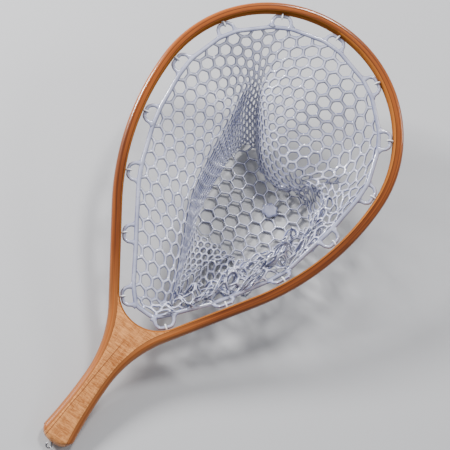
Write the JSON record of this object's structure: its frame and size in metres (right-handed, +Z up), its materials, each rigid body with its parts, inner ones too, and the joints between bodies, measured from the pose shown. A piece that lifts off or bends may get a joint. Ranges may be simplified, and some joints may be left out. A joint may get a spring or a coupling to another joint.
{
  "type": "landing net",
  "caption": "Hand landing net: bent laminated wood hoop and handle with a soft clear rubber mesh bag laced inside it.",
  "frame": {"origin": "on the surface that the net lies on, under the centre of its box", "axes": "+Y from the handle's butt to the hoop's tip, +X across the hoop, +Z up out of the bag's mouth"},
  "size_m": [0.278, 0.526, 0.1227],
  "materials": {
    "reddish_wood": "varnished",
    "dark_veneer": "varnished",
    "light_liner": "varnished",
    "figured_core": "varnished",
    "clear_rubber": "translucent satin",
    "lacing_line": "clear line",
    "bright_steel": "bright plated"
  },
  "bodies": {
    "root": {"hoop_outer_strip": "reddish_wood", "hoop_dark_veneer": "dark_veneer", "hoop_middle_strip": "reddish_wood", "hoop_inner_liner": "light_liner", "handle_core": "figured_core", "screw_eye": "bright_steel", "bag_hem": "clear_rubber", "bag_body": "clear_rubber", "bag_moulding_disc": "clear_rubber", "bag_tab_01": "clear_rubber", "bag_tab_02": "clear_rubber", "bag_tab_03": "clear_rubber", "bag_tab_04": "clear_rubber", "bag_tab_05": "clear_rubber", "bag_tab_06": "clear_rubber", "bag_tab_07": "clear_rubber", "bag_tab_08": "clear_rubber", "bag_tab_09": "clear_rubber", "bag_tab_10": "clear_rubber", "bag_tab_11": "clear_rubber", "bag_tab_12": "clear_rubber", "bag_tab_13": "clear_rubber", "bag_tab_14": "clear_rubber", "bag_tab_15": "clear_rubber", "lacing_stitch_01": "lacing_line", "lacing_stitch_02": "lacing_line", "lacing_stitch_03": "lacing_line", "lacing_stitch_04": "lacing_line", "lacing_stitch_05": "lacing_line", "lacing_stitch_06": "lacing_line", "lacing_stitch_07": "lacing_line", "lacing_stitch_08": "lacing_line", "lacing_stitch_09": "lacing_line", "lacing_stitch_10": "lacing_line", "lacing_stitch_11": "lacing_line", "lacing_stitch_12": "lacing_line", "lacing_stitch_13": "lacing_line", "lacing_stitch_14": "lacing_line", "lacing_stitch_15": "lacing_line"}
  },
  "joints": []
}
